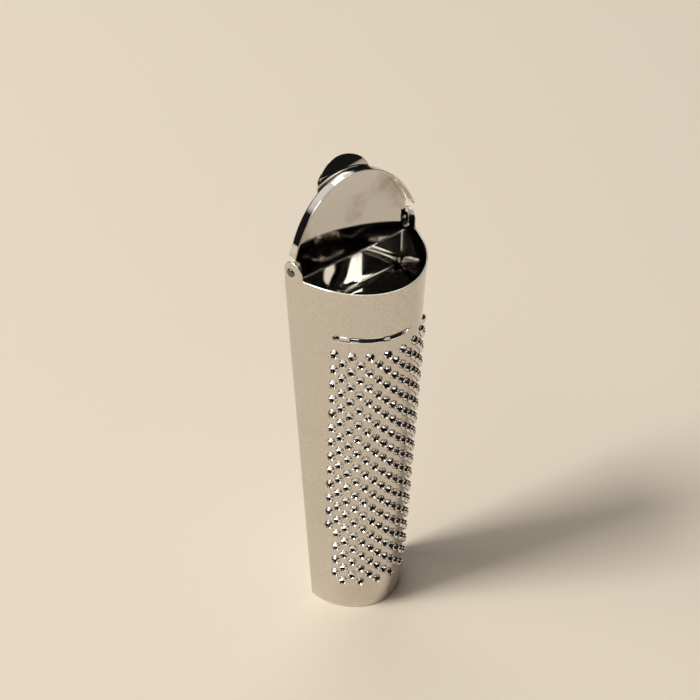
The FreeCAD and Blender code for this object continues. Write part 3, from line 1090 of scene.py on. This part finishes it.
@dataclass
class Lid:
    """The hinged lid: a plate with a turned-down edge, a narrow neck and two ears.

    It is drawn as it lies when shut, with the hinge as its origin: across, out from the hinge and up.
    """

    opened: float = 93.5
    half_width: float = 23.75
    half_depth: float = 31.35
    centre: Flat = (-0.6, -5.7)
    under: float = -0.9
    drop: float = 3.0
    neck: float = 6.5
    tail: float = 3.3
    ear_radius: float = 2.5
    ear_reach: float = 3.5
    notch: Flat = (0.7, 1.75)
    bend: float = 1.0
    inner_bend: float = 0.25
    edge_round: float = 0.12
    roll_radius: float = 0.27
    roll_lift: float = 0.05
    roll_short: float = 0.6
    crown: float = 0.3
    crown_at: float = 0.48
    crown_reach: float = 0.54
    crown_steepness: float = 2.5
    lean_back: float = 0.119
    lean_from: float = 22.0
    lean_over: float = 9.0

    def place(self, points: np.ndarray) -> np.ndarray:
        """Turns points of the shut lid's frame to the row frame, with the lid open.

        Args:
            points: The points, one a row.

        Returns:
            The same points in the row frame.
        """
        turn = math.radians(self.opened)
        x, out, up = points.T
        y = HINGE[0] - out * math.cos(turn) + up * math.sin(turn)
        z = HINGE[1] + out * math.sin(turn) + up * math.cos(turn)
        return np.stack([x, y, z], 1)

    def swell(self, x: float, out: float) -> float:
        """How far the plate is domed at a point.

        Args:
            x: How far across the point lies.
            out: How far out from the hinge it lies.

        Returns:
            The rise, in mm.
        """
        reach = self.half_depth + self.centre[1]
        along = max(0.0, 1 - ((out - self.crown_at * reach) / (self.crown_reach * reach)) ** 2)
        room = max(1e-6, 1 - ((out - self.centre[1]) / self.half_depth) ** 2)
        across = max(0.0, 1 - ((x - self.centre[0]) / (self.half_width * math.sqrt(room))) ** 2)
        return self.crown * along * min(1.0, self.crown_steepness * across)

    def lean(self, out: float) -> Point:
        """The direction of the pressed plate's upper side, which leans back most near the hinge."""
        share = min(1.0, max(0.0, (self.lean_from - out) / self.lean_over))
        return 0.0, -self.lean_back * share * share * (3 - 2 * share), 1.0

    def rim(self, inset: float, steps: int = 72) -> list[tuple[Flat, Flat]]:
        """Follows the plate's round edge from neck to neck.

        Args:
            inset: How far the points are drawn in from the edge.
            steps: The number of steps along it.

        Returns:
            Each point with the outward direction there.
        """
        cx, cy = self.centre
        end = math.acos((self.neck - cy) / self.half_depth)
        found = []
        for turn in np.linspace(-end, end, steps + 1):
            nx, ny = math.sin(turn) / self.half_width, math.cos(turn) / self.half_depth
            size = math.hypot(nx, ny)
            nx, ny = nx / size, ny / size
            x = cx + self.half_width * math.sin(turn) - inset * nx
            out = cy + self.half_depth * math.cos(turn) - inset * ny
            found.append(((x, max(out, self.neck)), (nx, ny)))
        return found

    def plate_blank(self) -> Blank:
        """Draws the lid's flat part, inside its bend, with the notches for the rivets' tails.

        Returns:
            The blank, whose outline starts with the points of the bend.
        """
        arc = [p for p, _ in self.rim(self.bend)]
        left, right = arc[0][0], arc[-1][0]
        if right < EAR_AT + 0.05 or left > -EAR_AT - 0.05:
            log.warning("the lid's neck is as wide as its cap: %.2f %.2f", left, right)
        right_side = [(EAR_AT, out) for out in np.linspace(self.neck, -self.tail, 12)[:-1]]
        tail = [(x, -self.tail) for x in np.linspace(EAR_AT, -EAR_AT, 25)]
        left_side = [(-EAR_AT, out) for out in np.linspace(-self.tail, self.neck, 12)[1:]]
        depth, half = self.notch
        holes = []
        for side in (1, -1):
            a, b = side * (EAR_AT - GAUGE), side * (EAR_AT - GAUGE - depth)
            holes.append(np.array([(a, -half), (a, half), (b, half), (b, -half)]))
        levels, places = np.linspace(-2.6, 25.0, 22), np.linspace(-22.0, 21.0, 30)
        grid = np.array([(x, out) for out in levels for x in places])
        return Blank(np.array(arc + right_side + tail + left_side), holes, grid, clearance=0.6)

    def build(self) -> list[bpy.types.Object]:
        """Presses the lid and its ears.

        Returns:
            The plate, the roll of its tail and its ears.
        """
        work = Sheetwork()
        blank = self.plate_blank()
        skins = []
        for base, sign in ((self.under + GAUGE, 1.0), (self.under, -1.0)):
            first = work.add((x, o, base + self.swell(x, o)) for x, o in blank.points)
            leans = [tuple(sign * c for c in self.lean(o)) for _, o in blank.points]
            skins.append(first)
            for face in blank.triangles:
                work.face([first + c for c in face], [leans[c] for c in face])
        bend_steps = self.flange(work, skins)
        for number, loop in enumerate(blank.loops):
            self.edge(work, blank, loop, number > 0, skins, bend_steps)
        lid = work.object("lid_plate", self.place)
        LID_STEEL.dress(lid)
        return [lid, self.tail_roll(), *self.ears()]

    def tail_roll(self) -> bpy.types.Object:
        """Rolls the edge of the lid's tail.

        Returns:
            The roll.
        """
        radius, turns = self.roll_radius, 14
        ends = np.linspace(self.roll_short - EAR_AT, EAR_AT - self.roll_short, 9)
        middle, level = -self.tail + radius, self.under + self.roll_lift
        ring = [
            (middle + radius * math.cos(t), level + radius * math.sin(t))
            for t in np.linspace(0, 2 * math.pi, turns, endpoint=False)
        ]
        points = self.place(np.array([(x, out, up) for x in ends for out, up in ring])).tolist()
        last = (len(ends) - 1) * turns
        caps = [tuple(range(turns)), tuple(range(last + turns - 1, last - 1, -1))]
        roll = soft_object("lid_tail_roll", points, tube(len(ends), turns) + caps)
        LID_STEEL.dress(roll)
        return roll

    def flange(self, work: Sheetwork, skins: list[int]) -> int:
        """Sweeps the bend and the turned-down edge round the lid's front.

        Args:
            work: The lid so far.
            skins: The numbers of the first upper and the first lower point.

        Returns:
            The number of steps along the bend.
        """
        rim = self.rim(self.bend)
        bend, tight, under = self.bend, self.inner_bend, self.under
        small, low, soft = bend - GAUGE, under - self.drop, self.edge_round
        # how far out from the flat part each corner lies, its level and its direction
        profile = [
            (bend * math.sin(t), under + GAUGE - bend * (1 - math.cos(t)), (math.sin(t), math.cos(t)))
            for t in np.linspace(0, math.pi / 2, 7)
        ]
        profile += [(bend, low + soft, (1.0, 0.0)), (bend - soft, low, (0.2, -1.0))]
        profile += [(small + soft, low, (-0.2, -1.0)), (small, low + soft, (-1.0, 0.0))]
        for t in np.linspace(0, math.pi / 2, 5)[::-1]:
            sin, cos = math.sin(t), math.cos(t)
            profile.append((small - tight * (1 - sin), under - tight * (1 - cos), (-sin, -cos)))
        profile.append((0.0, under, (0.0, -1.0)))
        firsts = []
        for station, ((x, out), (nx, ny)) in enumerate(rim):
            row = [(x + a * nx, max(out + a * ny, self.neck), h) for a, h, _ in profile[1:-1]]
            start = work.add(row)
            firsts.append([skins[0] + station, *range(start, start + len(row)), skins[1] + station])
        for i in range(len(rim) - 1):
            na, nb = rim[i][1], rim[i + 1][1]
            for k in range(len(profile) - 1):
                corners = [firsts[i][k], firsts[i + 1][k], firsts[i + 1][k + 1], firsts[i][k + 1]]
                normals = []
                for n, number in ((na, k), (nb, k), (nb, k + 1), (na, k + 1)):
                    side, up = profile[number][2]
                    normals.append((side * n[0], side * n[1], up))
                work.face(corners, normals)
        for end in (firsts[0], firsts[-1]):
            work.face(end, [(0.0, -1.0, 0.0)] * len(profile))
        return len(rim) - 1

    def edge(
        self, work: Sheetwork, blank: Blank, loop: list[int], is_hole: bool, skins: list[int], bend_steps: int
    ) -> None:
        """Closes the plate's edge where it has no turned-down edge.

        Args:
            work: The lid so far.
            blank: The flat plate.
            loop: The numbers of the loop's points.
            is_hole: Whether the loop is a hole, whose edge faces its middle.
            skins: The numbers of the first upper and the first lower point.
            bend_steps: How many steps of the outline the bend takes up.
        """
        count = len(loop)
        for i in range(0 if is_hole else bend_steps, count):
            a, b = loop[i], loop[(i + 1) % count]
            da, dz = blank.points[b] - blank.points[a]
            away = (dz, -da, 0.0)
            beside = (blank.points[a] + blank.points[b]) / 2 + 1e-3 * np.array(away[:2]) / math.hypot(da, dz)
            if inside(beside[None], blank.points[loop])[0] != is_hole:
                away = (-dz, da, 0.0)
            work.face([skins[0] + a, skins[0] + b, skins[1] + b, skins[1] + a], [away] * 4)

    def ears(self) -> list[bpy.types.Object]:
        """Makes the two upright ears that turn on the rivets.

        Returns:
            The right ear and the left.
        """
        top = self.under + GAUGE
        arc = np.linspace(math.asin(top / self.ear_radius), 1.5 * math.pi, 26)
        ring = [(self.ear_radius * math.cos(t), self.ear_radius * math.sin(t)) for t in arc]
        outline = [(self.ear_reach, -self.ear_radius), (self.ear_reach, top), *ring]
        count = len(outline)
        faces = [tuple(range(count)), tuple(range(2 * count - 1, count - 1, -1)), *tube(2, count)]
        made = []
        for side, name in ((1, "right"), (-1, "left")):
            flat = [(side * x, out, up) for x in (EAR_AT, EAR_AT - GAUGE) for out, up in outline]
            points = self.place(np.array(flat)).tolist()
            ear = bevelled(soft_object(f"lid_ear_{name}", points, faces), self.edge_round)
            LID_STEEL.dress(ear)
            made.append(ear)
        return made


@dataclass
class ThumbTab:
    """The scooped lip on the lid's top that a thumb pushes up."""

    lid: Lid
    shift: float = -1.0
    half_width: float = 9.4
    centre_out: float = 21.5
    length: float = 7.8
    foot: float = 3.5
    middle_ahead: float = 1.0
    bend_out: float = 23.5
    bend_radius: float = 9.0
    steepest: float = 0.98
    cup: float = 0.8
    cup_from: float = 20.0
    cup_over: float = 5.0
    gap: float = 0.01

    def height(self, x: float, out: float) -> float:
        """How far the lip's lower side has curled up from the lid's top at a point.

        Args:
            x: How far across the point lies.
            out: How far out from the hinge it lies.

        Returns:
            The rise, in mm.
        """
        past = min(max(0.0, out - self.bend_out), self.steepest * self.bend_radius)
        curl = self.bend_radius - math.sqrt(self.bend_radius**2 - past**2)
        free = min(1.0, max(0.0, (out - self.cup_from) / self.cup_over))
        return curl + self.cup * free * ((x - self.shift) / self.half_width) ** 2

    def build(self) -> bpy.types.Object:
        """Presses the lip from its rounded blank.

        Returns:
            The lip.
        """
        base = self.lid.under + GAUGE + self.gap
        rings, steps, probe = 9, 72, 0.05
        middle, low = self.centre_out + self.middle_ahead, self.centre_out - self.foot
        flat = [(self.shift, middle)]
        faces = []
        for ring in range(1, rings + 1):
            share = ring / rings
            for step in range(steps):
                turn = 2 * math.pi * step / steps
                x = self.shift + share * self.half_width * math.cos(turn)
                out = middle + share * (self.length * math.sin(turn) - self.middle_ahead)
                flat.append((x, max(out, low)))
        count = len(flat)
        for step in range(steps):
            faces.append((0, 1 + step, 1 + (step + 1) % steps))
        for ring in range(rings - 1):
            for step in range(steps):
                a, b = 1 + ring * steps, 1 + (ring + 1) * steps
                after = (step + 1) % steps
                faces.append((a + step, b + step, b + after, a + after))
        work = Sheetwork()
        leans = []
        for x, out in flat:
            slope = (self.height(x, out + probe) - self.height(x, out - probe)) / (2 * probe)
            side = (self.height(x + probe, out) - self.height(x - probe, out)) / (2 * probe)
            lean = np.array([-side, -slope, 1.0])
            leans.append(lean / np.linalg.norm(lean))
        lower = np.array([(x, out, base + self.height(x, out)) for x, out in flat])
        upper = lower + GAUGE * np.array(leans)
        first_low, first_up = work.add(lower.tolist()), work.add(upper.tolist())
        for face in faces:
            work.face([first_up + c for c in face], [leans[c] for c in face])
            work.face([first_low + c for c in face], [-leans[c] for c in face])
        ring = list(range(count - steps, count))
        for i in range(steps):
            a, b = ring[i], ring[(i + 1) % steps]
            pa, pb = np.array(flat[a]), np.array(flat[b])
            away = np.array([pb[1] - pa[1], pa[0] - pb[0], 0.0])
            if away[:2] @ ((pa + pb) / 2 - np.array(flat[0])) < 0:
                away = -away
            work.face([first_up + a, first_up + b, first_low + b, first_low + a], [away] * 4)
        tab = work.object("thumb_tab_lip", self.lid.place)
        LID_STEEL.dress(tab)
        return tab


# ---------------------------------------------------------------- the studio


@dataclass(frozen=True)
class Studio:
    """A plain pale floor, four soft lamps, a dim room and the camera."""

    floor: str = "E7D9C4"
    dark: str = "1E1D1C"
    pale: str = "F2EEE6"
    eye: Point = (-347.70, -445.32, 536.35)
    azimuth: float = -38.095
    elevation: float = 38.266
    roll: float = -0.829
    lens: float = 124.18

    def camera(self) -> None:
        """Sets the camera up."""
        a, e, r = (math.radians(v) for v in (self.azimuth, self.elevation, self.roll))
        back = Vector((math.sin(a) * math.cos(e), -math.cos(a) * math.cos(e), math.sin(e)))
        right = Vector((math.cos(a), math.sin(a), 0.0))
        up = back.cross(right)
        across = right * math.cos(r) + up * math.sin(r)
        upright = up * math.cos(r) - right * math.sin(r)
        turn = Matrix((across, upright, back)).transposed().to_4x4()
        data = bpy.data.cameras.new("camera")
        data.lens, data.sensor_width, data.clip_start = self.lens, 36.0, 0.01
        eye = linked("camera", data)
        eye.matrix_world = Matrix.Translation(Vector(self.eye) * MM) @ turn
        bpy.context.scene.camera = eye

    def ground(self) -> None:
        """Lays the floor."""
        half = 2.5
        corners = [(-half, -half, 0), (half, -half, 0), (half, half, 0), (-half, half, 0)]
        mesh = bpy.data.meshes.new("floor")
        mesh.from_pydata(corners, [], [(0, 1, 2, 3)])
        floor = linked("floor", mesh)
        paint = bpy.data.materials.new("pale_matt_floor")
        tree = empty_tree(paint)
        matt = add_node(tree, "ShaderNodeBsdfDiffuse", inputs={"Color": linear(self.floor)})
        add_node(tree, "ShaderNodeOutputMaterial", inputs={"Surface": matt})
        mesh.materials.append(paint)

    def lamp(self, name: str, bearing: Flat, distance: float, size: Flat, watts: float) -> None:
        """Hangs a soft lamp that faces the grater.

        Args:
            name: The lamp's name.
            bearing: Where it hangs, seen from the grater: degrees to the right of the front, and up.
            distance: How far off it hangs, in metres.
            size: Its width and height, in metres.
            watts: Its power.
        """
        data = bpy.data.lights.new(name, "AREA")
        data.shape, data.energy = "RECTANGLE", watts
        data.size, data.size_y = size
        lamp = linked(name, data)
        side, rise = (math.radians(v) for v in bearing)
        way = Vector((math.sin(side) * math.cos(rise), -math.cos(side) * math.cos(rise), math.sin(rise)))
        lamp.location = Vector((0, 0, 0.1)) + way * distance
        lamp.rotation_mode = "QUATERNION"
        lamp.rotation_quaternion = way.to_track_quat("Z", "Y")

    def room(self) -> None:
        """Fills the room with dim light, with a pale wall and a pale ceiling that only shine shows."""
        world = bpy.data.worlds.new("room")
        bpy.context.scene.world = world
        tree = empty_tree(world)
        place = add_node(tree, "ShaderNodeTexCoord").outputs["Generated"]
        split = add_node(tree, "ShaderNodeSeparateXYZ", inputs={0: place}).outputs
        raised, behind, overhead = (
            add_node(tree, "ShaderNodeMapRange", inputs=dict(enumerate((split[axis], start, end, 0.0, 1.0))))
            for axis, start, end in (("Z", 0.4, 0.48), ("Y", 0.1, 0.3), ("Z", 0.84, 0.9))
        )
        wall = add_node(tree, "ShaderNodeMath", operation="MULTIPLY", inputs={0: raised, 1: behind})
        both = add_node(tree, "ShaderNodeMath", operation="MAXIMUM", inputs={0: wall, 1: overhead})
        shine = add_node(tree, "ShaderNodeLightPath").outputs["Is Glossy Ray"]
        share = add_node(tree, "ShaderNodeMath", operation="MULTIPLY", inputs={0: both, 1: shine})
        colour = add_node(
            tree,
            "ShaderNodeMix",
            data_type="RGBA",
            inputs={"Factor": share, "A": linear(self.dark), "B": linear(self.pale)},
        )
        sky = add_node(tree, "ShaderNodeBackground", inputs={"Color": colour, "Strength": 1.0})
        add_node(tree, "ShaderNodeOutputWorld", inputs={"Surface": sky})

    def build(self) -> None:
        """Sets the whole studio up."""
        self.camera()
        self.ground()
        self.lamp("key_lamp", (-106.0, 52.0), 4.0, (1.0, 1.0), 106.0)
        self.lamp("left_softbox", (-114.0, 41.0), 3.0, (1.9, 1.1), 25.0)
        self.lamp("front_softbox", (-70.0, 51.0), 3.0, (1.6, 0.75), 13.0)
        self.lamp("top_lamp", (150.0, 58.0), 2.0, (1.4, 1.4), 9.5)
        self.room()
        bpy.context.scene.view_settings.view_transform = "Standard"


# ---------------------------------------------------------------- the grater


def settle(pieces: Iterable[bpy.types.Object], body: Body, *nodes: str) -> None:
    """Lets pieces ride on a body and take the place of CAD nodes.

    Args:
        pieces: The pieces.
        body: The body that they ride on.
        nodes: The nodes that the first of them stands for.
    """
    for number, piece in enumerate(pieces):
        if number == 0:
            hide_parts(*nodes)
        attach(piece, body.value)
        log.info("%s rides on %s", piece.name, body.value)


def main() -> None:
    """Builds the studio and the grater, piece by piece."""
    logging.basicConfig(level=logging.INFO, format="%(name)s: %(message)s")
    Studio().build()
    burrs = BurrField()
    shell = GratingShell(burrs)
    settle([shell.build(), burrs.build()], Body.GRATER, "grating_shell")
    settle([BackPlate().build()], Body.GRATER, "back_plate")
    settle(BoxFloor().build(), Body.GRATER, "compartment_floor")
    rivets = Rivets().build()
    settle([rivets["stud_head"]], Body.GRATER, "floor_stud")
    for side in ("right", "left"):
        pair = [rivets[f"rivet_head_{side}"], rivets[f"rivet_tail_{side}"]]
        settle(pair, Body.GRATER, f"hinge_rivet_{side}")
    lid = Lid()
    settle(lid.build(), Body.LID, "lid")
    settle([ThumbTab(lid).build()], Body.LID, "thumb_tab")


if __name__ == "__main__":
    main()
